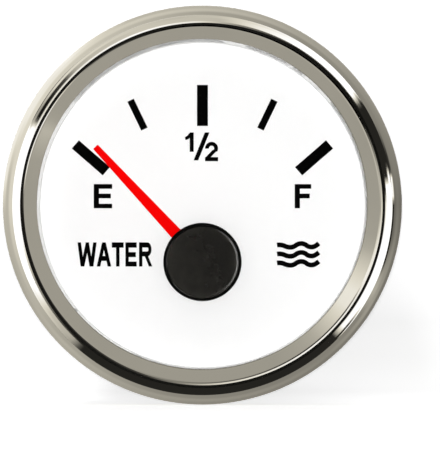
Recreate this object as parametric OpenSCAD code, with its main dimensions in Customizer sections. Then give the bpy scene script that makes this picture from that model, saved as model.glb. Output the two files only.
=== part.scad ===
/* [Panel fit] */
// Outer diameter of the bezel, which all the rings follow
bezel_d = 62; // [58:0.5:72]
// How far the bezel reaches over the panel beside its round hole
hole_cover = 5; // [4.6:0.1:6]
// Play between the barrel and the hole, on the diameter
hole_play = 0.5; // [0.2:0.1:1]
// Thickness of the rubber gasket behind the bezel
gasket_t = 1.2; // [0.6:0.2:2.4]
// Room for the panel between the gasket and the lock ring
panel_room = 6.5; // [4.5:0.5:12]
// Length of the barrel behind the gasket
barrel_len = 30; // [28:1:50]

/* [Bezel] */
// Width of the bezel from the window's edge to its outer wall
face_w = 5.3; // [5:0.1:6]
// Thickness of the bezel's steel sheet
sheet_t = 0.5; // [0.3:0.1:0.6]
// Distance of the sharp ridge from the outer wall
ridge_w = 1.5; // [1.2:0.1:1.8]
// Radius of the round shoulder outside the ridge
shoulder_r = 2.6; // [2.2:0.1:3]
// Width of the band that slopes down from the ridge to the groove
band_w = 1.2; // [0.9:0.1:1.4]
// Drop of the band across its width
band_drop = 0.23; // [0.1:0.01:0.35]
// Height of the step between the groove and the band
step_h = 0.8; // [0.6:0.1:1.2]
// Width of the groove, with its rounded inner edge
groove_w = 0.7; // [0.5:0.05:0.9]
// Depth of the groove, which is also the radius of its inner edge
groove_deep = 0.35; // [0.2:0.05:0.4]
// Rise of the sloping ring between the window and the groove
slope_h = 0.6; // [0.45:0.05:1]
// Radius of the rolled corner at the back of the bezel
rear_edge_r = 0.8; // [0.75:0.05:1]
// How far the rolled lip reaches in behind the case flange
lip_reach = 1.75; // [1:0.25:2]

/* [Window and dial] */
// Thickness of the glass
lens_t = 1.8; // [1.2:0.1:3]
// Thickness of the seal under the glass
lens_seal_t = 0.6; // [0.3:0.1:1]
// Distance from the dial face to the glass
dial_depth = 4; // [4:0.2:6]
// Thickness of the dial plate
dial_t = 0.6; // [0.4:0.1:1]
// How much of the spacer ring shows inside the window
spacer_show = 0.5; // [0.2:0.1:1]
// Wall of the spacer ring
spacer_wall = 1.3; // [1:0.1:1.6]
// How far the pointer turns below the centre of the window
pivot_drop = 8.85; // [8:0.05:9.5]

/* [Dial marks] */
// Height of the printed marks above the dial
ink_t = 0.06; // [0.04:0.01:0.1]
// Distance from the window's edge to the middle mark
mark_inset = 6.95; // [6.5:0.05:9]
// How much nearer to the pivot the two end marks stand
end_mark_inset = 0.6; // [0:0.1:1.5]
// Angle from the middle mark to each end mark
end_mark_angle = 47; // [40:1:55]
// Angle from the middle mark to each thin mark
thin_mark_angle = 23.8; // [20:0.1:27]
// Extra tilt of the side marks against their radius
side_mark_tilt = 2; // [0:0.5:4]
// Length of the thick marks
thick_mark_len = 6.4; // [5:0.1:7]
// Width of the thick marks
thick_mark_w = 1.7; // [1.2:0.1:2]
// Length of the thin marks
thin_mark_len = 5; // [4:0.1:6]
// Width of the thin marks
thin_mark_w = 1.1; // [0.6:0.1:1.2]

/* [Pointer] */
// Length of the pointer from the pivot to the tip
pointer_len = 24.5; // [20:0.5:26]
// Width of the pointer where it leaves the cap
pointer_root_w = 1.9; // [1.4:0.1:2.6]
// Width of the pointer's tip
pointer_tip_w = 1; // [0.6:0.1:1.4]
// Thickness of the pointer blade
pointer_t = 0.8; // [0.6:0.1:1]
// Height of the blade above the dial
pointer_lift = 1; // [0.8:0.1:1.2]
// Angle of the resting pointer to the left of the middle mark
pointer_rest = 42.9; // [-45:0.1:45]
// Diameter of the cap over the pivot
cap_d = 12.2; // [10:0.1:14]
// Height of the cap above its lower edge
cap_h = 2.9; // [2.4:0.1:3]
// Width of the shallow bevel round the cap's flat top
cap_bevel_w = 0.5; // [0.2:0.1:1]

/* [Cup and barrel] */
// Wall of the barrel
barrel_wall = 1.8; // [1.4:0.1:2.4]
// Thickness of the flange that the bezel is rolled over
flange_t = 2; // [1.5:0.1:2.4]
// Thickness of the ledge that carries the dial
ledge_t = 0.9; // [0.8:0.1:1.4]
// Wall of the cup that holds the glass
cup_wall = 2.2; // [1.6:0.1:2.4]
// Diameter of the three inner screw posts
post_d = 4.6; // [4.2:0.1:5]
// Thickness of the ring seal under the rear cover
cover_seal_t = 0.8; // [0.5:0.1:1.2]
// Thickness of the rear cover
cover_t = 2.2; // [2:0.1:3]

/* [Lock ring] */
// Height of the lock ring
ring_h = 7; // [5:0.5:9]
// How far the lock ring's flange stays inside the bezel's outline
ring_inset = 0.6; // [0.2:0.1:1.2]
// Thickness of the lock ring's flange
ring_flange_t = 2; // [1.5:0.1:3]
// Wall of the lock ring behind its flange
ring_wall = 2.3; // [1.8:0.1:2.8]
// Number of grip ribs on the lock ring
ring_ribs = 16; // [12:1:20]
// Width of a grip rib
ring_rib_w = 2.4; // [1.6:0.1:3]

/* [Light box and board] */
// Depth of the light box from the dial to the board
light_box_depth = 14; // [13:0.5:16]
// Wall of the light box
light_box_wall = 1.2; // [1:0.1:1.6]
// Thickness of the circuit board
board_t = 1.6; // [1:0.2:2]
// Number of lamps on each side of the board
side_lamps = 4; // [2:1:4]
// Length of a lamp
lamp_len = 3.5; // [2:0.1:3.6]
// Width of a lamp
lamp_w = 2.8; // [1.6:0.1:3]
// Height of a lamp
lamp_h = 0.8; // [0.5:0.1:1]

/* [Movement] */
// Size of a gear tooth, as pitch diameter over number of teeth
tooth_module = 0.3; // [0.28:0.005:0.31]
// Number of teeth on the two wheels
wheel_teeth = 50; // [44:1:52]
// Number of teeth on the two pinions
pinion_teeth = 10; // [9:1:11]
// Thickness of the two wheels
wheel_t = 0.8; // [0.6:0.1:1]
// Diameter of the output spindle
spindle_d = 1.5; // [1:0.1:1.8]
// Diameter of the two fixed arbors
arbor_d = 0.8; // [0.6:0.1:1]
// Diameter of the motor magnet
magnet_d = 5.6; // [4.6:0.1:6]
// Height of the motor magnet
magnet_h = 3; // [2.6:0.1:3.4]
// Diameter of the coil flanges
coil_d = 5; // [4.4:0.1:5.2]
// Length of a coil
coil_len = 10; // [8:0.5:11]
// Wall of the movement case
movement_wall = 1; // [0.8:0.1:1.2]

/* [Connector] */
// Width of the socket's opening
socket_w = 14; // [13:0.5:18]
// Height of the socket's opening
socket_h = 8; // [7:0.5:10]
// Depth of the socket
socket_depth = 11.5; // [10.5:0.5:14]
// How far the socket stands out of the rear cover
socket_out = 5; // [3:0.5:8]
// Wall of the socket
socket_wall = 1.5; // [1.2:0.1:2]
// Number of contact pins
pin_count = 4; // [2:1:4]
// Distance between neighbouring pins
pin_pitch = 3; // [2.5:0.1:3.2]
// Width of a square contact pin
pin_w = 1; // [0.6:0.1:1.2]

/* [Hidden] */
$fn = 96;

// Clearances: pieces pushed together, turning pieces, pieces dropped into a pocket
push_gap = 0.02;
turn_gap = 0.04;
drop_gap = 0.1;
// Overshoot of cutting shapes, so that no cut ends on a face
over = 1;

// Radii of the front, from the window outwards
bezel_r = bezel_d / 2;
window_r = bezel_r - face_w;
ridge_r = bezel_r - ridge_w;
groove_r = ridge_r - band_w;
slope_top_r = groove_r - groove_w;
lip_land = 0.5;
spacer_in_r = window_r - spacer_show;
spacer_r = spacer_in_r + spacer_wall;
cup_bore_r = spacer_r + drop_gap;
cup_r = cup_bore_r + cup_wall;
flange_r = bezel_r - rear_edge_r;
rear_lip_r = flange_r - lip_reach;
lens_r = cup_r - 2 * drop_gap;
barrel_r = bezel_r - hole_cover - hole_play / 2;
bore_r = barrel_r - barrel_wall;
gasket_r = bezel_r - rear_edge_r;

// Heights above the panel, towards the viewer
flange_z = gasket_t + sheet_t;
dial_z = flange_z + ledge_t;
face_z = dial_z + dial_t;
lens_z = face_z + dial_depth;
rim_z = lens_z - lens_seal_t;
glass_z = lens_z + lens_t;
slope_top_z = glass_z + sheet_t + slope_h;
groove_z = slope_top_z - groove_deep;
band_z = groove_z + step_h;
ridge_z = band_z + band_drop;
board_z = dial_z - light_box_depth;
board_back_z = board_z - board_t;
barrel_end_z = -barrel_len;
barrel_bevel = 0.6;
cover_z = barrel_end_z - cover_seal_t;
cover_back_z = cover_z - cover_t;

// Pointer, hub and cap
blade_z = face_z + pointer_lift;
blade_top_z = blade_z + pointer_t;
cap_r = cap_d / 2;
cap_lift = 0.4;
cap_wall = 1.4;
cap_edge_r = 0.45;
cap_bevel_angle = 5;
cap_dome = 0.06;
cap_z = face_z + cap_lift;
cap_top_z = cap_z + cap_h;
hub_r = cap_r - cap_wall;
hub_z = cap_z + drop_gap;
spindle_r = spindle_d / 2;
dial_hole_play = 1;
dial_hole_r = spindle_r + dial_hole_play;

// Light box, screws and posts
light_box_r = bore_r - 2 * drop_gap;
light_box_in_r = light_box_r - light_box_wall;
light_box_floor = 1;
board_r = light_box_r - 2 * drop_gap;
screw_head_r = 1.8;
screw_head_h = 1.3;
screw_core_r = 0.8;
screw_len = 7;
screw_slot_w = 0.5;
screw_slot_len = 2.2;
screw_slot_deep = 0.7;
screw_ring_r = light_box_in_r - screw_head_r - drop_gap;
screw_angles = [90, 210, 330];
post_web_w = 2;
lamp_margin = 0.8;
lamp_ring_r = light_box_in_r - lamp_w / 2 - lamp_margin;
lamp_spread = [[-8, 22, 75, -60], [188, 158, 105, 240]];

// Gear train, from the pointer's wheel up to the motor
pressure_angle = 25;
addendum = 0.8;
dedendum = 1.05;
backlash = 0.06;
centre_gap = tooth_module * (wheel_teeth + pinion_teeth) / 2;
output_at = [0, -pivot_drop];
idler_at = output_at + [0, centre_gap];
rotor_at = idler_at + [0, centre_gap];
wheel_tip_r = tooth_module * (wheel_teeth / 2 + addendum);
arbor_r = arbor_d / 2;
layer_gap = 0.2;
movement_floor = 1;
magnet_z = board_z + movement_floor + layer_gap;
rotor_pinion_z = magnet_z + magnet_h;
idler_wheel_z = rotor_pinion_z + layer_gap;
idler_pinion_z = idler_wheel_z + wheel_t;
output_wheel_z = idler_pinion_z + 2 * layer_gap;
pinion_t = wheel_t + 3 * layer_gap;
lid_z = output_wheel_z + wheel_t + 2 * layer_gap;
lid_t = 0.9;
bearing_h = 1.5;
bearing_wall = 1.2;
bearing_r = spindle_r + bearing_wall;
arbor_z = board_z + movement_floor / 2;
arbor_top_z = lid_z + lid_t / 2;
sleeve_r = 1;
idler_hub_r = 2.2;
wheel_window_r = 1.5;
wheel_windows = 5;
rim_thicker = 0.3;

// Motor iron and coils
magnet_r = magnet_d / 2;
air_gap = 0.3;
pole_w = 1.9;
pole_r = magnet_r + air_gap + pole_w;
pole_bridge = 0.5;
iron_t = 1;
leg_w = 1.6;
coil_r = coil_d / 2;
coil_core_r = 1.5;
coil_cheek = 0.6;
coil_room = 0.5;
coil_drop = 2;
coil_x = wheel_tip_r + coil_r + coil_room;
coil_y = rotor_at.y - coil_len / 2 - coil_drop;
iron_z = board_z + movement_floor + coil_r + drop_gap - iron_t / 2;
leg_low_y = coil_y - coil_len / 2 - coil_room;
yoke_w = 1.4;
movement_room = 0.3;
movement_half_w = coil_x + coil_r + movement_room + movement_wall;
movement_top_y = rotor_at.y + pole_r + movement_room + movement_wall;
movement_low_y = leg_low_y - yoke_w - movement_room - movement_wall;
movement_round_r = wheel_tip_r + movement_room + movement_wall;
movement_corner_r = 3.6;
terminal_r = 0.3;
terminal_len = 3;
terminal_inset = 2.4;

// Socket and pins
socket_y = 6;
socket_mouth_z = cover_back_z - socket_out;
socket_floor_z = socket_mouth_z + socket_depth;
socket_floor_t = 2;
socket_corner_r = 1.5;
pin_reach = 6.5;
mouth_inset = 1;
key_w = 2;
key_deep = 0.8;
latch_w = 5;
latch_t = 1;
latch_h = 2;
latch_lip = 0.2;

// Lock ring
ring_bore_r = barrel_r + drop_gap;
ring_r = ring_bore_r + ring_wall;
ring_flange_r = bezel_r - ring_inset;
ring_rib_inset = 0.4;
ring_z = -panel_room;

// Places of the parts soldered behind the board, right and up from the middle
controller_at = output_at + [7, -1];
controller_w = 7;
controller_t = 1.2;
regulator_at = [13, 6];
regulator_size = [3.6, 6.6, 1.7];
capacitor_at = output_at + [-9.5, -1.5];
capacitor_r = 3.15;
capacitor_h = 5.4;

// Turns the dial frame, x right, y up and z to the viewer, into the part's own frame
module stand_up() rotate([90, 0, 0]) children();

function arc(centre, r, from, to, steps) = [
    for (i = [0:steps])
        let (a = from + (to - from) * i / steps)
        centre + r * [cos(a), sin(a)]
];

function rounded_box(w, h, r) = concat(
    arc([w / 2 - r, h / 2 - r], r, 0, 90, 4),
    arc([r - w / 2, h / 2 - r], r, 90, 180, 4),
    arc([r - w / 2, r - h / 2], r, 180, 270, 4),
    arc([w / 2 - r, r - h / 2], r, 270, 360, 4)
);

module tube(outer, inner, z, h) {
    translate([0, 0, z]) difference() {
        cylinder(r = outer, h = h);
        translate([0, 0, -over]) cylinder(r = inner, h = h + 2 * over);
    }
}

// Roll of an involute flank between its base circle and radius r, in degrees
function involute(r, base_r) =
    let (a = acos(min(1, base_r / r)))
    tan(a) * 180 / PI - a;

// Outline of an external gear with a tooth centred on angle 0
function gear_outline(teeth) =
    let (
        pitch_r = tooth_module * teeth / 2,
        base_r = pitch_r * cos(pressure_angle),
        root_r = pitch_r - dedendum * tooth_module,
        tip_r = pitch_r + addendum * tooth_module,
        start_r = max(base_r, root_r),
        half_pitch = 90 / teeth - backlash * tooth_module / pitch_r * 90 / PI,
        steps = 3,
        radii = [for (k = [0:steps]) start_r + (tip_r - start_r) * k / steps],
        half = [for (r = radii) half_pitch + involute(pitch_r, base_r) - involute(r, base_r)],
        foot = root_r < start_r ? [root_r] : []
    )
    [
        for (i = [0:teeth - 1])
            let (mid = 360 * i / teeth)
            each concat(
                [for (r = foot) r * [cos(mid - half[0]), sin(mid - half[0])]],
                [for (k = [0:steps]) radii[k] * [cos(mid - half[k]), sin(mid - half[k])]],
                [for (k = [steps:-1:0]) radii[k] * [cos(mid + half[k]), sin(mid + half[k])]],
                [for (r = foot) r * [cos(mid + half[0]), sin(mid + half[0])]]
            )
    ];

// One gear at its centre, turned so that a tooth points along the given angle
module gear(teeth, at, z, h, towards) {
    translate([at.x, at.y, z]) rotate([0, 0, towards])
        linear_extrude(h) polygon(gear_outline(teeth));
}

module drill(at, r, z, h) {
    translate([at.x, at.y, z - over]) cylinder(r = r, h = h + 2 * over, $fn = 48);
}

module at_screws() {
    for (a = screw_angles) rotate([0, 0, a]) translate([screw_ring_r, 0, 0]) children();
}

// A pan-head screw with a cross recess, its head's seat at height 0 and its shank below
module screw(shank) {
    difference() {
        union() {
            cylinder(r = screw_head_r, h = screw_head_h, $fn = 32);
            translate([0, 0, -shank]) cylinder(r = screw_core_r, h = shank, $fn = 32);
        }
        for (turn = [0, 90]) rotate([0, 0, turn])
            translate([-screw_slot_len / 2, -screw_slot_w / 2, screw_head_h - screw_slot_deep])
                cube([screw_slot_len, screw_slot_w, screw_slot_deep + over]);
    }
}

// Bezel: one spun steel sheet, from the lip rolled in behind the flange to the window's edge
module bezel() {
    ridge_angle = acos(1 - ridge_w / shoulder_r);
    shoulder = [bezel_r - shoulder_r, ridge_z - shoulder_r * sin(ridge_angle)];
    rear_corner = [bezel_r - rear_edge_r, gasket_t + rear_edge_r];
    fold_r = slope_top_r - sheet_t / 3;
    outer_skin = concat(
        [[rear_lip_r, gasket_t]],
        arc(rear_corner, rear_edge_r, -90, 0, 4),
        arc(shoulder, shoulder_r, 0, ridge_angle, 10),
        [[groove_r, band_z], [groove_r, groove_z]],
        arc([slope_top_r, groove_z], groove_deep, 0, 90, 4),
        [[window_r, glass_z + sheet_t]]
    );
    inner_skin = concat(
        [[window_r, glass_z], [window_r + lip_land, glass_z]],
        [[fold_r, slope_top_z - sheet_t], [fold_r, groove_z - sheet_t]],
        [[groove_r + sheet_t, groove_z - sheet_t], [groove_r + sheet_t, band_z - sheet_t]],
        arc(shoulder, shoulder_r - sheet_t, ridge_angle - 5, 0, 8),
        arc(rear_corner, rear_edge_r - sheet_t, 0, -90, 3),
        [[rear_lip_r, flange_z]]
    );
    color("silver") stand_up()
        rotate_extrude() polygon(concat(outer_skin, inner_skin));
}

module bezel_gasket() {
    color("dimgray") stand_up() tube(gasket_r, barrel_r + drop_gap, 0, gasket_t);
}

// Glass with a small ground bevel on both edges
module lens() {
    bevel = 0.2;
    color("lightcyan", 0.3) stand_up() rotate_extrude() polygon([
        [0, lens_z], [lens_r - bevel, lens_z], [lens_r, lens_z + bevel],
        [lens_r, glass_z - bevel], [lens_r - bevel, glass_z], [0, glass_z]
    ]);
}

module lens_seal() {
    color("dimgray") stand_up() tube(lens_r, cup_bore_r, rim_z, lens_seal_t);
}

// Pale ring between dial and glass, with its inner top edge bevelled
module dial_spacer() {
    bevel = 0.3;
    color("lavender") stand_up() rotate_extrude() polygon([
        [spacer_in_r, face_z], [spacer_r, face_z], [spacer_r, lens_z],
        [spacer_in_r + bevel, lens_z], [spacer_in_r, lens_z - bevel]
    ]);
}

module dial() {
    color("white") stand_up() difference() {
        translate([0, 0, dial_z]) cylinder(r = spacer_r, h = dial_t);
        drill(output_at, dial_hole_r, dial_z, dial_t);
    }
}

// One printed bar, its outer end at radius r from the pivot
module mark(angle, r, length, width, tilt = 0) {
    mid_r = r - length / 2;
    translate([output_at.x + mid_r * sin(angle), output_at.y + mid_r * cos(angle), face_z])
        rotate([0, 0, -angle - tilt])
            translate([-width / 2, -length / 2, 0]) cube([width, length, ink_t]);
}

module dial_marks() {
    mark_r = window_r + pivot_drop - mark_inset;
    color("black") stand_up() {
        mark(0, mark_r, thick_mark_len, thick_mark_w);
        for (side = [-1, 1]) {
            mark(side * end_mark_angle, mark_r - end_mark_inset, thick_mark_len, thick_mark_w,
                side * side_mark_tilt);
            mark(side * thin_mark_angle, mark_r, thin_mark_len, thin_mark_w,
                side * side_mark_tilt);
        }
    }
}

// Outline of the blade along +y, grown sideways by a margin
module blade_outline(margin = 0) {
    taper = (pointer_root_w - pointer_tip_w) / (pointer_len - cap_r);
    heel_w = pointer_root_w + taper * cap_r;
    polygon([
        [-heel_w / 2 - margin, 0], [heel_w / 2 + margin, 0],
        [pointer_tip_w / 2 + margin, pointer_len], [-pointer_tip_w / 2 - margin, pointer_len]
    ]);
}

module at_pointer() {
    translate([output_at.x, output_at.y, 0]) rotate([0, 0, pointer_rest]) children();
}

// Red blade in one piece with the round hub that is pushed on the spindle
module pointer() {
    color("red") stand_up() at_pointer() difference() {
        union() {
            translate([0, 0, hub_z]) cylinder(r = hub_r, h = blade_top_z - hub_z, $fn = 64);
            translate([0, 0, blade_z]) linear_extrude(pointer_t) blade_outline();
        }
        drill([0, 0], spindle_r + push_gap, hub_z, blade_top_z - hub_z);
    }
}

// Black cap pushed over the hub, slotted for the blade, its flat top bevelled towards a round edge
module pointer_cap() {
    edge_turn = 90 - cap_bevel_angle;
    bevel_z = cap_top_z - cap_dome - cap_bevel_w * tan(cap_bevel_angle);
    edge = [cap_r - cap_edge_r, bevel_z - cap_edge_r * sin(edge_turn)];
    flat_r = edge.x + cap_edge_r * cos(edge_turn) - cap_bevel_w;
    color("#262523") stand_up() at_pointer() difference() {
        rotate_extrude() polygon(concat(
            [[0, cap_z], [cap_r, cap_z]],
            arc(edge, cap_edge_r, 0, edge_turn, 5),
            [[flat_r, cap_top_z - cap_dome], [0, cap_top_z]]
        ));
        translate([0, 0, cap_z - over])
            cylinder(r = hub_r + push_gap, h = blade_top_z + push_gap - cap_z + over, $fn = 64);
        translate([0, 0, cap_z - over])
            linear_extrude(blade_top_z + push_gap - cap_z + over) blade_outline(push_gap);
    }
}

module spindle() {
    color("gainsboro") stand_up()
        translate([output_at.x, output_at.y, arbor_z])
            cylinder(r = spindle_r, h = blade_top_z - arbor_z, $fn = 48);
}

// Round windows between the hub and the rim of a moulded wheel
module wheel_lightening(at, z) {
    mid_r = (wheel_tip_r + idler_hub_r) / 2 - rim_thicker;
    for (i = [0:wheel_windows - 1]) {
        a = 360 * (i + 0.5) / wheel_windows;
        drill(at + mid_r * [cos(a), sin(a)], wheel_window_r, z, wheel_t);
    }
}

module output_wheel() {
    color("ivory") stand_up() difference() {
        gear(wheel_teeth, output_at, output_wheel_z, wheel_t, 90 + 180 / wheel_teeth);
        wheel_lightening(output_at, output_wheel_z);
        drill(output_at, spindle_r + push_gap, output_wheel_z, wheel_t);
    }
}

// Wheel and pinion moulded as one: the wheel takes the motor's pinion, the pinion drives the output
module idler_wheel() {
    color("ivory") stand_up() difference() {
        union() {
            difference() {
                gear(wheel_teeth, idler_at, idler_wheel_z, wheel_t, 90);
                wheel_lightening(idler_at, idler_wheel_z);
            }
            gear(pinion_teeth, idler_at, idler_pinion_z, pinion_t, -90);
        }
        drill(idler_at, arbor_r + turn_gap, idler_wheel_z, wheel_t + pinion_t);
    }
}

module idler_arbor() {
    color("gainsboro") stand_up() translate([idler_at.x, idler_at.y, arbor_z])
        cylinder(r = arbor_r, h = arbor_top_z - arbor_z, $fn = 32);
}

module rotor_pinion() {
    color("ivory") stand_up() difference() {
        union() {
            gear(pinion_teeth, rotor_at, rotor_pinion_z, pinion_t, -90 + 180 / pinion_teeth);
            translate([rotor_at.x, rotor_at.y, magnet_z])
                cylinder(r = sleeve_r, h = magnet_h, $fn = 48);
        }
        drill(rotor_at, arbor_r + turn_gap, magnet_z, magnet_h + pinion_t);
    }
}

module rotor_magnet() {
    color("dimgray") stand_up() translate([rotor_at.x, rotor_at.y, 0])
        tube(magnet_r, sleeve_r + push_gap, magnet_z, magnet_h);
}

module rotor_arbor() {
    color("gainsboro") stand_up() translate([rotor_at.x, rotor_at.y, arbor_z])
        cylinder(r = arbor_r, h = arbor_top_z - arbor_z, $fn = 32);
}

// Soft-iron frame: a pole ring round the magnet, two legs through the coils and a closing yoke
module stator() {
    leg_h = rotor_at.y + leg_w / 2 - leg_low_y;
    color("slategray") stand_up() translate([0, 0, iron_z]) difference() {
        linear_extrude(iron_t) difference() {
            union() {
                translate(rotor_at) circle(r = pole_r);
                translate([-coil_x - leg_w / 2, rotor_at.y - leg_w / 2])
                    square([2 * coil_x + leg_w, leg_w]);
                for (side = [-1, 1])
                    translate([side * coil_x - leg_w / 2, leg_low_y]) square([leg_w, leg_h]);
                translate([-coil_x - leg_w / 2, leg_low_y - yoke_w])
                    square([2 * coil_x + leg_w, yoke_w + over / 2]);
            }
            translate(rotor_at) circle(r = magnet_r + air_gap);
        }
        for (a = [30, 150, 270]) translate([rotor_at.x, rotor_at.y, -over]) rotate([0, 0, a])
            translate([0, -air_gap / 2, 0]) cube([pole_r - pole_bridge, air_gap, iron_t + 2 * over]);
    }
}

// Places a coil piece, modelled along z from 0 to its length, on a leg of the iron
module on_leg(side) {
    translate([side * coil_x, coil_y - coil_len / 2, iron_z + iron_t / 2])
        rotate([-90, 0, 0]) children();
}

module bobbin(side) {
    hole = [leg_w + 2 * drop_gap, iron_t + 2 * drop_gap];
    on_leg(side) difference() {
        union() {
            cylinder(r = coil_core_r, h = coil_len, $fn = 48);
            for (z = [0, coil_len - coil_cheek]) translate([0, 0, z])
                cylinder(r = coil_r, h = coil_cheek, $fn = 48);
        }
        translate([-hole.x / 2, -hole.y / 2, -over]) cube([hole.x, hole.y, coil_len + 2 * over]);
    }
}

module winding(side) {
    on_leg(side) tube(coil_r - drop_gap, coil_core_r + push_gap, coil_cheek + push_gap,
        coil_len - 2 * coil_cheek - 2 * push_gap);
}

module left_bobbin() color("black") stand_up() bobbin(-1);

module left_winding() color("peru") stand_up() winding(-1);

module right_bobbin() color("black") stand_up() bobbin(1);

module right_winding() color("peru") stand_up() winding(1);

// Outline of the movement case: a box round the motor and a round end about the spindle
module movement_outline(grow = 0) {
    box_w = 2 * (movement_half_w + grow);
    box_h = movement_top_y - movement_low_y + 2 * grow;
    translate([0, (movement_top_y + movement_low_y) / 2])
        polygon(rounded_box(box_w, box_h, movement_corner_r + grow));
    translate(output_at) circle(r = movement_round_r + grow);
}

module movement_base() {
    wall_h = lid_z - board_z;
    color("#303030") stand_up() difference() {
        union() {
            difference() {
                translate([0, 0, board_z]) linear_extrude(wall_h) movement_outline();
                translate([0, 0, board_z + movement_floor])
                    linear_extrude(wall_h) movement_outline(-movement_wall);
            }
            for (side = [-1, 1])
                translate([side * coil_x, rotor_at.y, arbor_z])
                    cylinder(r = leg_w / 2 + movement_room, h = iron_z - arbor_z, $fn = 32);
        }
        drill(idler_at, arbor_r + push_gap, arbor_z + over, wall_h);
        drill(rotor_at, arbor_r + push_gap, arbor_z + over, wall_h);
        drill(output_at, spindle_r + turn_gap, arbor_z + over, wall_h);
    }
}

// Lid with the spindle's upper bearing
module movement_lid() {
    bearing_top_z = lid_z + lid_t + bearing_h;
    blind = arbor_top_z - lid_z + turn_gap;
    color("#303030") stand_up() difference() {
        union() {
            translate([0, 0, lid_z]) linear_extrude(lid_t) movement_outline();
            translate([output_at.x, output_at.y, lid_z])
                cylinder(r = bearing_r, h = lid_t + bearing_h, $fn = 48);
        }
        drill(output_at, spindle_r + turn_gap, lid_z, bearing_top_z - lid_z);
        for (at = [idler_at, rotor_at]) translate([at.x, at.y, lid_z - over])
            cylinder(r = arbor_r + push_gap, h = blind + over, $fn = 32);
    }
}

// Places of the four terminals near the corners of the motor box
function terminals() = [
    for (x = [-1, 1], y = [movement_low_y + terminal_inset, movement_top_y - terminal_inset])
        [x * (movement_half_w - terminal_inset), y]
];

module movement_pins() {
    color("goldenrod") stand_up() for (at = terminals())
        translate([at.x, at.y, board_z - terminal_len])
            cylinder(r = terminal_r, h = terminal_len, $fn = 24);
}

module at_lamps() {
    for (side = lamp_spread, i = [0:side_lamps - 1])
        rotate([0, 0, side[i]]) translate([lamp_ring_r, 0, 0]) children();
}

// A box centred on its own place in plan
module pad(size, z) {
    translate([-size.x / 2, -size.y / 2, z]) cube(size);
}

// White chamber between board and dial, which spreads the lamps' light
module light_box() {
    margin = 0.3;
    color("whitesmoke") stand_up() difference() {
        tube(light_box_r, 0, board_z, light_box_depth);
        translate([0, 0, board_z + light_box_floor])
            cylinder(r = light_box_in_r, h = light_box_depth);
        translate([0, 0, board_z - over])
            linear_extrude(light_box_floor + 2 * over) movement_outline(margin);
        at_lamps() pad([lamp_w + 2 * margin, lamp_len + 2 * margin, light_box_floor + 2 * over],
            board_z - over);
        at_screws() drill([0, 0], screw_core_r + 2 * drop_gap, board_z, light_box_floor);
    }
}

module lamps() {
    color("lemonchiffon") stand_up() at_lamps() pad([lamp_w, lamp_len, lamp_h], board_z);
}

module pin_row() {
    for (i = [0:pin_count - 1])
        translate([(i - (pin_count - 1) / 2) * pin_pitch, socket_y, 0]) children();
}

module circuit_board() {
    color("darkgreen") stand_up() difference() {
        translate([0, 0, board_back_z]) cylinder(r = board_r, h = board_t);
        at_screws() drill([0, 0], screw_core_r + 2 * drop_gap, board_back_z, board_t);
        for (at = terminals()) drill(at, terminal_r + drop_gap, board_back_z, board_t);
        pin_row() drill([0, 0], pin_w / sqrt(2) + drop_gap, board_back_z, board_t);
    }
}

module board_screws() {
    color("silver") stand_up() at_screws()
        translate([0, 0, board_z + light_box_floor]) screw(light_box_floor + board_t + screw_len);
}

module microcontroller() {
    color("#202020") stand_up() translate(controller_at)
        pad([controller_w, controller_w, controller_t], board_back_z - controller_t);
}

module regulator() {
    color("#202020") stand_up() translate(regulator_at)
        pad(regulator_size, board_back_z - regulator_size.z);
}

module capacitor() {
    color("silver") stand_up()
        translate([capacitor_at.x, capacitor_at.y, board_back_z - capacitor_h])
            cylinder(r = capacitor_r, h = capacitor_h, $fn = 48);
}

// Moulded cup and barrel in one piece, with three posts that take the screws from both ends
module case() {
    post_r = post_d / 2;
    post_h = board_back_z - cover_z;
    color("#1c1c1c") stand_up() difference() {
        union() {
            rotate_extrude() polygon([
                [barrel_r - barrel_bevel, barrel_end_z], [barrel_r, barrel_end_z + barrel_bevel],
                [barrel_r, flange_z], [flange_r, flange_z], [flange_r, flange_z + flange_t],
                [cup_r, flange_z + flange_t], [cup_r, rim_z], [cup_bore_r, rim_z],
                [cup_bore_r, dial_z], [bore_r, dial_z], [bore_r, barrel_end_z]
            ]);
            at_screws() translate([0, 0, cover_z]) cylinder(r = post_r, h = post_h, $fn = 48);
            at_screws() translate([0, -post_web_w / 2, barrel_end_z])
                cube([bore_r - screw_ring_r + barrel_wall / 2, post_web_w, board_back_z - barrel_end_z]);
        }
        at_screws() drill([0, 0], screw_core_r + push_gap, cover_z, post_h);
    }
}

module cover_seal() {
    color("dimgray") stand_up() tube(barrel_r - 3 * drop_gap, bore_r + drop_gap, cover_z, cover_seal_t);
}

// Outline of the socket, grown by its wall
module socket_outline(grow = 0) {
    translate([0, socket_y])
        polygon(rounded_box(socket_w + 2 * grow, socket_h + 2 * grow, socket_corner_r + grow));
}

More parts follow.
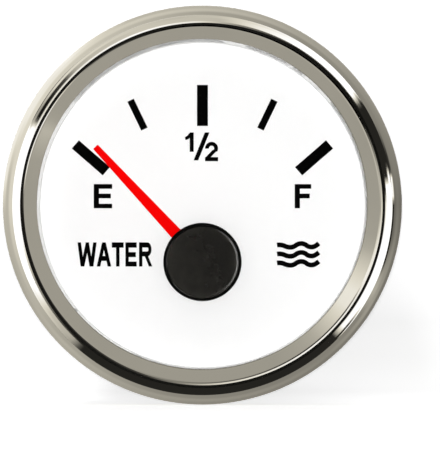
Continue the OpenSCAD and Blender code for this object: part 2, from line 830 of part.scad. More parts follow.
// Rear cover with the socket moulded on, its key rib inside and its latch ramp above
module rear_cover() {
    shell_z = socket_floor_z + socket_floor_t;
    latch_y = socket_y + socket_h / 2 + socket_wall;
    color("#1c1c1c") stand_up() difference() {
        union() {
            rotate_extrude() polygon([
                [0, cover_z], [barrel_r, cover_z], [barrel_r, cover_back_z + barrel_bevel],
                [barrel_r - barrel_bevel, cover_back_z], [0, cover_back_z]
            ]);
            translate([0, 0, socket_mouth_z])
                linear_extrude(shell_z - socket_mouth_z) socket_outline(socket_wall);
            translate([latch_w / 2, latch_y, socket_mouth_z + mouth_inset]) rotate([0, -90, 0])
                linear_extrude(latch_w) polygon([
                    [0, -latch_lip], [latch_h, -latch_lip], [latch_h, latch_t], [0, latch_lip]
                ]);
        }
        difference() {
            translate([0, 0, socket_mouth_z - over])
                linear_extrude(socket_depth + over) socket_outline();
            translate([-key_w / 2, socket_y - socket_h / 2 - over, socket_mouth_z + mouth_inset])
                cube([key_w, key_deep + over, socket_depth]);
        }
        at_screws() drill([0, 0], screw_core_r + 2 * drop_gap, cover_back_z, cover_t);
        at_screws() translate([0, 0, cover_back_z - over])
            cylinder(r = screw_head_r + 2 * drop_gap, h = screw_head_h + over, $fn = 48);
        pin_row() pad([pin_w + 2 * push_gap, pin_w + 2 * push_gap, socket_floor_t + 2 * over],
            socket_floor_z - over);
    }
}

module cover_screws() {
    color("silver") stand_up() at_screws()
        translate([0, 0, cover_back_z + screw_head_h]) rotate([180, 0, 0])
            screw(cover_t - screw_head_h + screw_len);
}

// Square pins from the board to the socket, their free ends inside its mouth
module connector_pins() {
    low_z = socket_floor_z - pin_reach;
    color("goldenrod") stand_up() pin_row()
        pad([pin_w, pin_w, board_z - 2 * drop_gap - low_z], low_z);
}

// Nut that clamps the panel: a flange towards the panel, a plain wall and grip ribs
module lock_ring() {
    rib_r = ring_flange_r - ring_rib_inset;
    color("#1c1c1c") stand_up() difference() {
        union() {
            translate([0, 0, ring_z - ring_h]) cylinder(r = ring_r, h = ring_h);
            translate([0, 0, ring_z - ring_flange_t]) cylinder(r = ring_flange_r, h = ring_flange_t);
            for (i = [0:ring_ribs - 1]) rotate([0, 0, 360 * i / ring_ribs])
                translate([ring_r - ring_wall / 2, -ring_rib_w / 2, ring_z - ring_h])
                    cube([rib_r - ring_r + ring_wall / 2, ring_rib_w, ring_h - ring_flange_t / 2]);
        }
        translate([0, 0, ring_z - ring_h - over]) cylinder(r = ring_bore_r, h = ring_h + 2 * over);
    }
}

bezel();
bezel_gasket();
lens();
lens_seal();
dial_spacer();
dial();
dial_marks();
pointer();
pointer_cap();
spindle();
output_wheel();
idler_wheel();
idler_arbor();
rotor_pinion();
rotor_magnet();
rotor_arbor();
stator();
left_bobbin();
left_winding();
right_bobbin();
right_winding();
movement_base();
movement_lid();
movement_pins();
light_box();
lamps();
circuit_board();
board_screws();
microcontroller();
regulator();
capacitor();
case();
cover_seal();
rear_cover();
cover_screws();
connector_pins();
lock_ring();
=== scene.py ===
"""Looks of a round panel gauge for a water tank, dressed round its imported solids, in metres."""
from math import cos, pi, radians, sin, tan

import bmesh
import bpy
from mathutils import Matrix, Vector


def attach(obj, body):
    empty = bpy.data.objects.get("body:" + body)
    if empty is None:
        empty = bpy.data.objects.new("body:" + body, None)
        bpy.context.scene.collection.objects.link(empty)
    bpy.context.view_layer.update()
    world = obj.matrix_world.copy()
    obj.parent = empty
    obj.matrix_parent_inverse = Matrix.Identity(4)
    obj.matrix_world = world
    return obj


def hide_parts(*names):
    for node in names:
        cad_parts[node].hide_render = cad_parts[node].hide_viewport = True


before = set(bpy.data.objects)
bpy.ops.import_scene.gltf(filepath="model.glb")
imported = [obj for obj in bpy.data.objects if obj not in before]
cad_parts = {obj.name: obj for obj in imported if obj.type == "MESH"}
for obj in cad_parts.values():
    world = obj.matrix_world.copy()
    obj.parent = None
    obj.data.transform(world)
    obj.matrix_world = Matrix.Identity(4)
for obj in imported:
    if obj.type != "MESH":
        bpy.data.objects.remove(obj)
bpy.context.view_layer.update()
scene = bpy.context.scene
scene.view_settings.view_transform = "Standard"
MM = 0.001


# Camera: square to the dial and far off, so that the rings lie concentric. The gauge stands a
# little left of and above the middle of the picture.
camera_away = 1600
rim_height = 8.5
pixels_per_mm = 6.435
picture_height = 459
film = 36
gauge_left, gauge_up = 17.6 / pixels_per_mm, 24.4 / pixels_per_mm

camera = bpy.data.objects.new("camera", bpy.data.cameras.new("camera"))
camera.data.sensor_width = film
camera.data.lens = pixels_per_mm * (camera_away - rim_height) * film / picture_height
camera.location = (gauge_left * MM, -camera_away * MM, -gauge_up * MM)
camera.rotation_euler = (pi / 2, 0, 0)
scene.collection.objects.link(camera)
scene.camera = camera


# Studio: a soft lamp on the dial's axis, a weaker one high up to the left, and a pale room that is
# lighter behind the gauge. What polished metal mirrors of the room is bright panels and dark gaps,
# laid out by their direction from the dial's axis.
class Signal:
    """One output of a shader node, on which Python's own signs do the shader's sums."""

    def __init__(self, tree, socket=None):
        self.tree = tree
        self.socket = socket

    def node(self, kind, settings={}, inputs={}, out=0):
        """Adds a node, makes its settings first, then fills its inputs, and returns one output."""
        made = self.tree.nodes.new("ShaderNode" + kind)
        for name, value in settings.items():
            if name == "stops":
                self.fill_ramp(made.color_ramp, value)
            else:
                setattr(made, name, value)
        for name, value in inputs.items():
            if isinstance(value, Signal):
                self.tree.links.new(value.socket, made.inputs[name])
            else:
                made.inputs[name].default_value = value
        return Signal(self.tree, made.outputs[out])

    def fill_ramp(self, ramp, stops):
        while len(ramp.elements) < len(stops):
            ramp.elements.new(1)
        for element, (place, level) in zip(ramp.elements, stops):
            element.position = place
            element.color = (*level, 1) if isinstance(level, tuple) else (level, level, level, 1)

    def parts(self):
        """The three numbers of a vector."""
        split = self.node("SeparateXYZ", inputs={0: self}).socket.node
        return [Signal(self.tree, split.outputs[i]) for i in range(3)]

    def sum(self, operation, first, second=0.0):
        return self.node("Math", {"operation": operation}, {0: first, 1: second})

    def __add__(self, other):
        return self.sum("ADD", self, other)

    def __radd__(self, other):
        return self.sum("ADD", other, self)

    def __sub__(self, other):
        return self.sum("SUBTRACT", self, other)

    def __rsub__(self, other):
        return self.sum("SUBTRACT", other, self)

    def __mul__(self, other):
        return self.sum("MULTIPLY", self, other)

    def __rmul__(self, other):
        return self.sum("MULTIPLY", other, self)

    def __truediv__(self, other):
        return self.sum("DIVIDE", self, other)

    def __rtruediv__(self, other):
        return self.sum("DIVIDE", other, self)

    def step(self, low, high):
        """Rises smoothly from 0 at low to 1 at high."""
        settings = {"interpolation_type": "SMOOTHSTEP"}
        return self.node("MapRange", settings, {"Value": self, "From Min": low, "From Max": high})

    def mix(self, first, second):
        """Goes from the first colour to the second as this signal goes from 0 to 1."""
        inputs = {"Factor": self, 6: first, 7: second}
        return self.node("Mix", {"data_type": "RGBA"}, inputs, out=2)

    def times(self, other):
        """The product of two colours."""
        settings = {"data_type": "RGBA", "blend_type": "MULTIPLY"}
        return self.node("Mix", settings, {"Factor": 1.0, 6: self, 7: other}, out=2)

    def ramp(self, *stops):
        return self.node("ValToRGB", {"stops": stops}, {"Fac": self})


front_light, back_light = 0.32, 0.8
room_seen = 1.0
axis_level = 0.01
glint_level = 10

room = bpy.data.worlds.new("room")
room.use_nodes = True
room.node_tree.nodes.clear()
scene.world = room
air = Signal(room.node_tree)
across, along, upward = air.node("TexCoord", out="Generated").parts()
# Degrees away from the line that runs from the dial straight to the camera, and turn round it
off_axis = air.sum("ARCCOSINE", along * -1) * (180 / pi)
turn = air.sum("FRACT", air.sum("ARCTAN2", upward, across) / (2 * pi) + 1)
facing_turn = air.sum("FRACT", turn + 0.5)


def by_degrees(signal, *stops):
    """A level that changes round the circle, its stops given in degrees."""
    return signal.ramp(*[(degrees / 360, level) for degrees, level in stops])


outer_band_view = by_degrees(
    facing_turn, (0, 1.3), (9, 1.3), (11, 0.1), (12.5, 0.02), (33, 0.02), (37, 1.4), (56, 1.3),
    (70, 0.95), (85, 0.65), (98, 0.6), (125, 0.8), (141, 0.85), (150, 0.35), (154, 0.45), (157, 1.3),
    (204, 1.3), (214, 0.8), (226, 0.45), (230, 0.02), (321, 0.02), (327, 1.2), (360, 1.3))
mid_band_view = by_degrees(
    facing_turn, (0, 1.4), (5.5, 1.4), (8, 0.02), (32, 0.02), (36, 1.4), (58, 1.3), (72, 1.0), (84, 0.6),
    (110, 0.68), (124, 0.6), (133, 0.5), (138, 0.06), (146, 0.01), (153, 0.01), (156, 1.4), (205, 1.4),
    (216, 0.65), (226, 0.5), (230, 0.02), (315, 0.02), (319, 1.2), (326, 1.4), (360, 1.4))
inner_band_view = by_degrees(
    facing_turn, (0, 0.9), (1.5, 0.5), (4, 0.02), (60, 0.02), (70, 0.1), (78, 0.25), (92, 1.0),
    (112, 1.2), (150, 0.9), (160, 1.3), (190, 1.3), (204, 0.4), (220, 0.06), (228, 0.02), (315, 0.02),
    (319, 1.1), (345, 1.3), (360, 0.9))
slope_view = by_degrees(
    facing_turn, (0, 0.39), (20, 0.375), (145, 0.385), (150, 0.405), (155, 0.545), (160, 0.475),
    (165, 0.405), (175, 0.385), (295, 0.38), (300, 0.395), (305, 0.42), (310, 0.475), (315, 0.62),
    (320, 0.785), (325, 0.95), (330, 0.96), (335, 0.815), (340, 0.65), (345, 0.465), (350, 0.41),
    (360, 0.39))
# The two fine lands beside the groove meet panels so near the axis that nothing else mirrors them
land_view = by_degrees(
    turn, (0, 0.4), (12, 0.56), (22, 0.56), (30, 0.5), (60, 0.42), (110, 0.37), (240, 0.4), (258, 0.26),
    (272, 0.17), (290, 0.1), (300, 0.03), (324, 0.03), (330, 0.4), (336, 1.1), (350, 0.8), (360, 0.4))
line_view = by_degrees(
    turn, (0, 0.8), (10, 0.5), (20, 0.2), (28, 0.0), (105, 0.0), (128, 0.15), (140, 0.8), (150, 1.1),
    (168, 1.0), (176, 0.15), (182, 0.02), (250, 0.05), (262, 0.25), (275, 0.85), (305, 1.1), (345, 1.0),
    (360, 0.8))
near_rim_view = by_degrees(
    turn, (0, 0.16), (15, 0.25), (30, 0.28), (60, 0.33), (90, 0.44), (110, 0.57), (130, 0.7),
    (150, 0.82), (180, 0.79), (200, 0.61), (220, 0.46), (240, 0.39), (260, 0.3), (290, 0.26),
    (325, 0.27), (334, 0.5), (342, 0.3), (350, 0.17), (360, 0.17))
mid_rim_view = by_degrees(
    turn, (0, 0.21), (30, 0.31), (60, 0.45), (90, 0.62), (120, 0.77), (135, 0.95), (152, 1),
    (162, 0.83), (172, 0.6), (200, 0.52), (225, 0.52), (250, 0.4), (280, 0.33), (310, 0.28),
    (330, 0.4), (350, 0.26), (360, 0.21))
far_rim_view = by_degrees(
    turn, (0, 0.18), (30, 0.34), (60, 0.43), (90, 0.55), (110, 0.57), (122, 0.8), (132, 1.02),
    (172, 0.96), (182, 0.58), (200, 0.47), (225, 0.48), (240, 0.42), (270, 0.3), (300, 0.24),
    (350, 0.2), (360, 0.18))
# A small bright panel near the axis, to the right, which only the bevel of the pointer's cap meets
glint_view = by_degrees(
    turn, (0, 1), (30, 0.85), (52, 0.35), (72, 0), (288, 0), (310, 0.2), (330, 0.65), (360, 1))
# To the right, the start of the shoulder meets a dark strip with a short bright gap in it
ridge_view = by_degrees(
    turn, (0, 0.01), (1, 0.01), (2.5, 1.2), (8.5, 1.2), (10, 0.03), (20, 0.04), (30, 0.01), (360, 0.01))
ridge_meets = by_degrees(turn, (0, 1), (16, 1), (26, 0), (338, 0), (343, 1), (360, 1))
near_rim_view = (ridge_meets * (1 - off_axis.step(58, 70))).mix(near_rim_view, ridge_view)
glint = glint_view * off_axis.step(8, 10) * (1 - off_axis.step(12, 13.5)) * glint_level
# From the axis outwards, each view gives way to the next between two angles
seen_in_metal = (axis_level,) * 3 + (1,)
for first_degrees, last_degrees, next_view in (
        (3.4, 3.7, land_view), (5.5, 5.9, line_view), (7.7, 8, glint + axis_level),
        (13, 15, outer_band_view), (19.2, 19.7, mid_band_view), (22.4, 22.9, inner_band_view),
        (27, 29, slope_view), (44, 50, near_rim_view), (70, 92, mid_rim_view),
        (100, 125, far_rim_view)):
    seen_in_metal = off_axis.step(first_degrees, last_degrees).mix(seen_in_metal, next_view)
# The room's darker parts are a little warm, the bright panels white
warmth = seen_in_metal.step(0.75, 1.3).mix((1, 0.943, 0.785, 1), (1, 0.99, 0.97, 1))
seen_in_metal = warmth.times(seen_in_metal)
# The camera sees white, polished metal these views, and all else an even light
by_camera = air.node("LightPath", out="Is Camera Ray")
by_gloss = air.node("LightPath", out="Is Glossy Ray")
even_light = off_axis.step(80, 110) * (back_light - front_light) + front_light
level = by_gloss.mix(even_light, seen_in_metal)
level = by_camera.mix(level, (room_seen,) * 3 + (1,))
light = air.node("Background", inputs={"Color": level, "Strength": 1.0})
end = room.node_tree.nodes.new("ShaderNodeOutputWorld")
room.node_tree.links.new(light.socket, end.inputs["Surface"])

# Distance, side, watts, turn and tilt: one lamp on the dial's axis, one high up to the left
for name, away, side, watts, lamp_turn, lamp_tilt in (
        ("front_lamp", 2.4, 0.06, 45.5, 0, 0), ("high_lamp", 1.2, 0.28, 3.2, 112.5, 72.3)):
    lamp = bpy.data.objects.new(name, bpy.data.lights.new(name, "AREA"))
    lamp.data.size = side
    lamp.data.energy = watts
    aside, ahead = sin(radians(lamp_tilt)), cos(radians(lamp_tilt))
    way_out = Vector((cos(radians(lamp_turn)) * aside, -ahead, sin(radians(lamp_turn)) * aside))
    lamp.location = way_out * away
    lamp.rotation_euler = way_out.to_track_quat("Z", "Y").to_euler()
    lamp.visible_camera = lamp.visible_glossy = False
    scene.collection.objects.link(lamp)


# Backdrop: a white sheet that hangs close behind the gauge, runs out below it as the floor on which
# it stands, and droops in front of it, where the shadow of its foot shows. Only the camera sees the
# sheet, and only from the front, so that the gauge's back stays in light.
sheet_behind, sheet_below = 0.045, -0.03102
sheet_bend = 0.025
droop_start, droop_r, droop_degrees = -0.0088, 0.1, 5
sheet_half_wide, sheet_top, sheet_front = 1.0, 0.8, -0.9

bm = bmesh.new()
corners = [bm.verts.new((x, sheet_behind, sheet_top)) for x in (-sheet_half_wide, sheet_half_wide)]
edge = bm.edges.new(corners)


def pull(bm, edge, way):
    """Extrudes an edge by a distance and returns the new one."""
    made = bmesh.ops.extrude_edge_only(bm, edges=[edge])["geom"]
    bmesh.ops.translate(bm, vec=way, verts=[g for g in made if isinstance(g, bmesh.types.BMVert)])
    return [g for g in made if isinstance(g, bmesh.types.BMEdge) and g.is_boundary and g != edge
            and len(g.link_faces) == 1 and abs(g.calc_length() - edge.calc_length()) < 1e-6][0]


def bend(bm, edge, middle, degrees, steps):
    """Swings an edge round a line from left to right and returns its last place."""
    made = bmesh.ops.spin(
        bm, geom=[edge], cent=middle, axis=(1, 0, 0), angle=radians(degrees), steps=steps)
    return [g for g in made["geom_last"] if isinstance(g, bmesh.types.BMEdge)][0]


edge = pull(bm, edge, (0, 0, sheet_below + sheet_bend - sheet_top))
edge = bend(bm, edge, (0, sheet_behind - sheet_bend, sheet_below + sheet_bend), -90, 16)
edge = pull(bm, edge, (0, droop_start - sheet_behind + sheet_bend, 0))
edge = bend(bm, edge, (0, droop_start, sheet_below - droop_r), droop_degrees, 8)
edge = pull(bm, edge, (0, sheet_front, sheet_front * tan(radians(droop_degrees))))
bmesh.ops.recalc_face_normals(bm, faces=bm.faces)
if bm.faces[0].normal.y > 0:
    bmesh.ops.reverse_faces(bm, faces=bm.faces)
mesh = bpy.data.meshes.new("backdrop")
bm.to_mesh(mesh)
bm.free()
mesh.shade_smooth()
backdrop = bpy.data.objects.new("backdrop", mesh)
scene.collection.objects.link(backdrop)
backdrop.visible_diffuse = backdrop.visible_glossy = backdrop.visible_shadow = False
backdrop.visible_transmission = False


def new_look(name, **values):
    """A material whose shader has these socket values, and a signal to build its nodes from."""
    look = bpy.data.materials.new(name)
    look.use_nodes = True
    shader = look.node_tree.nodes["Principled BSDF"]
    for socket, value in values.items():
        if isinstance(value, tuple):
            value = (*value, 1)
        shader.inputs[socket.replace("_", " ")].default_value = value
    return look, Signal(look.node_tree)


def feed(look, **signals):
    """Links signals to the shader's sockets."""
    shader = look.node_tree.nodes["Principled BSDF"]
    for socket, signal in signals.items():
        look.node_tree.links.new(signal.socket, shader.inputs[socket.replace("_", " ")])


def show(look, signal):
    """Makes this shader the material's surface."""
    end = look.node_tree.nodes["Material Output"]
    look.node_tree.links.new(signal.socket, end.inputs["Surface"])


def shader_of(look):
    return Signal(look.node_tree, look.node_tree.nodes["Principled BSDF"].outputs[0])


def place(s):
    """A point's own place on the piece in metres: right, back and up."""
    return s.node("TexCoord", out="Object").parts()


def grain(s, scale, detail=3.0):
    """An uneven pattern that goes through the whole piece."""
    spot = s.node("TexCoord", out="Object")
    return s.node("TexNoise", inputs={"Vector": spot, "Scale": scale, "Detail": detail})


sheet_look, s = new_look(
    "white_sheet", Base_Color=(0.9, 0.9, 0.9), Roughness=0.9, Specular_IOR_Level=0.0,
    Emission_Color=(0.1, 0.1, 0.1), Emission_Strength=1.0)
cloudy = grain(s, 3.0, 2.0)
_, back, up = place(s)
# The sheet's own light evens out what the lamps give its droop, level floor, bend and wall. It
# follows the height, and a tenth of the depth so that it changes over the level floor too
depth_share, ramp_start = 0.1, -0.1
along_sheet = (up - sheet_below + back * depth_share) / (2 * sheet_bend) - ramp_start
own_light = along_sheet.ramp(
    (0, 0.5), (0.022, 0.43), (0.044, 0.405), (0.055, 0.41), (0.067, 0.44), (0.076, 0.48), (0.086, 0.61),
    (0.104, 0.73), (0.123, 0.75), (0.14, 0.69), (0.163, 0.55), (0.187, 0.41), (0.224, 0.33),
    (0.27, 0.24), (0.315, 0.17), (0.38, 0.11), (0.433, 0.06), (0.589, 0.05), (0.69, 0.09), (0.89, 0.15))
feed(sheet_look, Roughness=0.85 + cloudy * 0.1, Emission_Color=own_light)
seen_through = s.node("BsdfTransparent")
show(sheet_look, s.node("MixShader", inputs={
    0: s.node("NewGeometry", out="Backfacing"), 1: shader_of(sheet_look), 2: seen_through}))
mesh.materials.append(sheet_look)


# Bezel: one ring of stainless steel sheet, spun, rolled in behind the flange at its back and
# polished. From outside in it has a round shoulder, a sharp ridge, a sloping band, a groove and a
# slope down to the window.
STAND_UP = Matrix.Rotation(pi / 2, 4, "X") @ Matrix.Scale(MM, 4)
MAIN_BODY = "housing"


class Outline:
    """A line drawn in a bmesh through radius and height, by straight runs and arcs."""

    def __init__(self, radius, height):
        self.bm = bmesh.new()
        self.first = self.last = self.bm.verts.new((radius, 0, height))

    def to(self, *points):
        for radius, height in points:
            vert = self.bm.verts.new((radius, 0, height))
            self.bm.edges.new((self.last, vert))
            self.last = vert
        return self

    def arc(self, radius, height, degrees, steps):
        """Goes on round a centre, from the window's side towards the viewer where positive."""
        made = bmesh.ops.spin(
            self.bm, geom=[self.last], cent=(radius, 0, height), axis=(0, -1, 0),
            angle=radians(degrees), steps=steps)
        self.last = [g for g in made["geom_last"] if isinstance(g, bmesh.types.BMVert)][0]
        return self

    def spun(self, steps=240):
        """Closes the line and spins it about the axis square to the dial."""
        bm = self.bm
        bm.edges.new((self.last, self.first))
        bmesh.ops.spin(
            bm, geom=bm.verts[:] + bm.edges[:], cent=(0, 0, 0), axis=(0, 0, 1), angle=2 * pi,
            steps=steps, use_merge=True)
        return bm


def piece(bm, name, look, slot, body, *nodes, sharp=28):
    """Makes a finished bmesh, in millimetres of the dial's frame, a piece that rides on a body."""
    bmesh.ops.remove_doubles(bm, verts=bm.verts, dist=1e-4)
    bmesh.ops.transform(bm, matrix=STAND_UP, verts=bm.verts)
    bmesh.ops.recalc_face_normals(bm, faces=bm.faces)
    mesh = bpy.data.meshes.new(name)
    bm.to_mesh(mesh)
    bm.free()
    mesh.shade_smooth()
    mesh.set_sharp_from_angle(angle=radians(sharp))
    mesh.materials.append(look)
    made = bpy.data.objects.new(name, mesh)
    scene.collection.objects.link(made)
    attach(made, body)
    if nodes:
        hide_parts(*nodes)
    return made


window_r = 25.64
bezel_r = 31
sheet_t, lip_t = 0.5, 0.4
gasket_t = 1.2
glass_top = 9
rear_edge_r = 0.8
rear_lip_r = 28.45
shoulder_r, shoulder_z = 2.6, 8.424
shoulder_in = bezel_r - shoulder_r
shoulder_turn = 64.97
inside_turn = shoulder_turn - 5
# The band is bent a little, so that its two halves mirror different parts of the room
band_r, band_bend, band_start, band_turn = 19.6, (32.6, -8.578), 99.35, 3.3
band_edge = 0.1
groove_r, groove_floor, band_low = 28.3, 9.75, 10.55
slope_r, slope_top = 27.6, 10.1
land_r, line_r, line_out = 27.54, 27.74, 27.98
land_tilt, line_tilt = 1.8, 2.9
lip_round = 0.06
slope_turn, lip_turn = 108.4, 61.6
lip_r, lip_z = window_r + lip_round, glass_top + lip_t
# Lip and groove sit a hair off centre, as the uneven width of the slope shows. What lies inside
# the lip's reach shifts with it
lip_shift, groove_shift = (-0.065, 0.16), (0.06, -0.05)
lip_reach = 26.3
# A run this short beside an edge keeps the mirror on either side of it even
tiny = 0.03


def on_round(radius, height, size, degrees):
    """A point on a round of the outline."""
    return radius + size * cos(radians(degrees)), height + size * sin(radians(degrees))


def between(start, end, gap):
    """The two points at this distance inside the ends of a straight run."""
    run = Vector(end) - Vector(start)
    step = run.normalized() * gap
    return tuple(Vector(start) + step), tuple(Vector(end) - step)


outline = Outline(rear_lip_r, gasket_t).to((bezel_r - rear_edge_r, gasket_t))
outline.arc(bezel_r - rear_edge_r, gasket_t + rear_edge_r, 90, 10)
outline.to((bezel_r, shoulder_z)).arc(shoulder_in, shoulder_z, shoulder_turn, 30)
outline.to(on_round(*band_bend, band_r, band_start))
for degrees, steps in ((band_edge, 1), (band_turn - 2 * band_edge, 8), (band_edge, 1)):
    outline.arc(*band_bend, degrees, steps)
outline.to((groove_r, band_low - tiny), (groove_r, groove_floor), (line_out, groove_floor))
line_z = slope_top - (line_r - land_r) * tan(radians(land_tilt))
line_end = (line_out, line_z - (line_out - line_r) * tan(radians(line_tilt)))
slope_ends = (land_r, slope_top), on_round(lip_r, lip_z, lip_round, slope_turn)
outline.to(line_end, between(line_end, (line_r, line_z), tiny)[1], (line_r, line_z))
outline.to(*between((line_r, line_z), slope_ends[0], tiny), slope_ends[0])
outline.to(*between(*slope_ends, tiny), slope_ends[1]).arc(lip_r, lip_z, lip_turn, 5)
outline.to((window_r, glass_top), (window_r + sheet_t, glass_top))
outline.to((slope_r - sheet_t / 3, slope_top - sheet_t))
outline.to((slope_r - sheet_t / 3, groove_floor - sheet_t))
outline.to((groove_r + sheet_t, groove_floor - sheet_t), (groove_r + sheet_t, band_low - sheet_t))
outline.to(on_round(shoulder_in, shoulder_z, shoulder_r - sheet_t, inside_turn))
outline.arc(shoulder_in, shoulder_z, -inside_turn, 12)
outline.to((bezel_r - sheet_t, gasket_t + rear_edge_r))
outline.arc(bezel_r - rear_edge_r, gasket_t + rear_edge_r, -90, 5)
outline.to((rear_lip_r, gasket_t + sheet_t))

steel_look, s = new_look(
    "polished_steel", Base_Color=(0.86, 0.86, 0.86), Metallic=1.0, Roughness=0.03)


def way_from(s, x, up, middle):
    """Distance in metres from an axis square to the dial, whose place is in millimetres."""
    off_x, off_up = x - middle[0] * MM, up - middle[1] * MM
    return s.sum("SQRT", off_x * off_x + off_up * off_up)


def reached(way, first, last):
    """Rises from 0 to 1 between two distances in millimetres."""
    return way.step(first * MM, last * MM)


x, _, up = place(s)
turned = s.node(
    "TexNoise", {"noise_dimensions": "1D"}, {"W": way_from(s, x, up, (0, 0)) * 9000, "Detail": 2.0})
smudged = grain(s, 90.0)
# The groove is painted dark, as painted shade in its hollow, and is matt on its floor. The lip's cut
# edge is painted darker at the lower right, as painted shade
from_groove_middle = way_from(s, x, up, groove_shift)
groove_painted_shade = reached(from_groove_middle, 27.93, 27.97) * (1 - reached(from_groove_middle, 28.29, 28.37))
on_floor = reached(from_groove_middle, 27.97, 28.01) * (1 - reached(from_groove_middle, 28.27, 28.29))
lip_edge_painted_shade = (1 - reached(way_from(s, x, up, lip_shift), 25.73, 25.81)) * reached(x - up, -20, 10)
steel_colour = lip_edge_painted_shade.mix(smudged.ramp((0.3, 0.84), (0.7, 0.875)), (0.5, 0.5, 0.48, 1))
feed(steel_look,
     Base_Color=groove_painted_shade.mix(steel_colour, (0.02, 0.02, 0.018, 1)),
     Roughness=0.01 + smudged * 0.015 + turned * 0.005 + on_floor * 0.4,
     Normal=s.node("Bump", inputs={"Height": turned, "Strength": 0.008, "Distance": 0.00002}))
bm = outline.spun(360)
lip = [v for v in bm.verts if v.co.xy.length < lip_reach]
bmesh.ops.translate(bm, verts=lip, vec=(*lip_shift, 0))
piece(bm, "bezel_ring", steel_look, "polished_steel", MAIN_BODY, "bezel", sharp=15)


# Window: a flat disc of clear glass with ground edges. It lies on a rubber seal on the cup's rim, and
# the bezel's inner lip holds it down.
glass_look, s = new_look("window_glass", Base_Color=(1, 1, 1), Metallic=1.0, Roughness=0.01)
feed(glass_look, Roughness=grain(s, 60.0, 2.0) * 0.02)
show(glass_look, s.node("MixShader", inputs={
    0: s.node("Fresnel", inputs={"IOR": 1.45}) * 0.8, 1: s.node("BsdfTransparent"),
    2: shader_of(glass_look)}))


def dress(look, *names):
    """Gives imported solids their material."""
    for name in names:
        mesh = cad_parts[name].data
        mesh.materials.clear()
        mesh.materials.append(look)


dress(glass_look, "lens")


# Gasket and seals: flat rings cut from black rubber. One is squeezed between the bezel and the
# panel, one between the cup's rim and the glass, and one between the barrel and its rear cover.
rubber_look, s = new_look(
    "seal_rubber", Base_Color=(0.03, 0.03, 0.03), Roughness=0.7, Specular_IOR_Level=0.3)
grainy = grain(s, 1800.0, 4.0)
feed(rubber_look, Base_Color=grainy.ramp((0.3, 0.018), (0.8, 0.05)), Roughness=0.6 + grainy * 0.25,
     Normal=s.node("Bump", inputs={"Height": grainy, "Strength": 0.4, "Distance": 0.0001}))
# Outer and inner radius, back and front
for name, outer, inner, low, high in (
        ("bezel_gasket", 30.2, 25.85, 0, 1.2), ("lens_seal", 28.6, 26.6, 6.6, 7.2),
        ("cover_seal", 25.45, 24.05, -30.8, -30)):
    outline = Outline(inner, low).to((outer - tiny, low), (outer, low + tiny), (outer, high - tiny))
    outline.to((outer - tiny, high), (inner, high))
    piece(outline.spun(), name + "_ring", rubber_look, "seal_rubber", MAIN_BODY, name)


# Spacer: a ring moulded in pale plastic. It stands on the dial's edge, keeps the glass off it, and
# shows as a pale line inside the bezel.
spacer_look, s = new_look(
    "pale_plastic", Base_Color=(0.82, 0.82, 0.81), Roughness=0.45, Specular_IOR_Level=0.2)
moulded = grain(s, 700.0)
feed(spacer_look, Base_Color=moulded.ramp((0.2, (0.8, 0.8, 0.79)), (0.8, (0.84, 0.84, 0.83))),
     Roughness=0.4 + moulded * 0.15)
dial_face, spacer_top = 3.2, 7.2
spacer_in, spacer_out, spacer_round = 25.3, 26.5, 0.1
outline = Outline(spacer_in, dial_face)
outline.to((spacer_out, dial_face), (spacer_out, spacer_top), (spacer_in + spacer_round, spacer_top))
outline.arc(spacer_in + spacer_round, spacer_top - spacer_round, 90, 4)
piece(outline.spun(), "spacer_ring", spacer_look, "pale_plastic", MAIN_BODY, "dial_spacer")


# Dial: a white plastic plate, sprayed matt, that lies on the cup's ledge. Its scale, letters, word
# and waves are screen-printed in black.
dial_look, s = new_look("dial_white", Base_Color=(0.93, 0.93, 0.93), Roughness=0.6,
                        Specular_IOR_Level=0.3)
sprayed = grain(s, 2500.0)
feed(dial_look, Base_Color=sprayed.ramp((0.2, 0.92), (0.8, 0.95)), Roughness=0.55 + sprayed * 0.1,
     Normal=s.node("Bump", inputs={"Height": sprayed, "Strength": 0.15, "Distance": 0.00003}))
dress(dial_look, "dial")

print_look, s = new_look("mark_black", Base_Color=(0.001, 0.001, 0.001), Roughness=0.5,
                         Specular_IOR_Level=0.0)
inked = grain(s, 3500.0)
feed(print_look, Base_Color=inked.ramp((0.3, 0.0005), (0.8, 0.002)), Roughness=0.4 + inked * 0.2)
dress(print_look, "dial_marks")

ink = 0.06


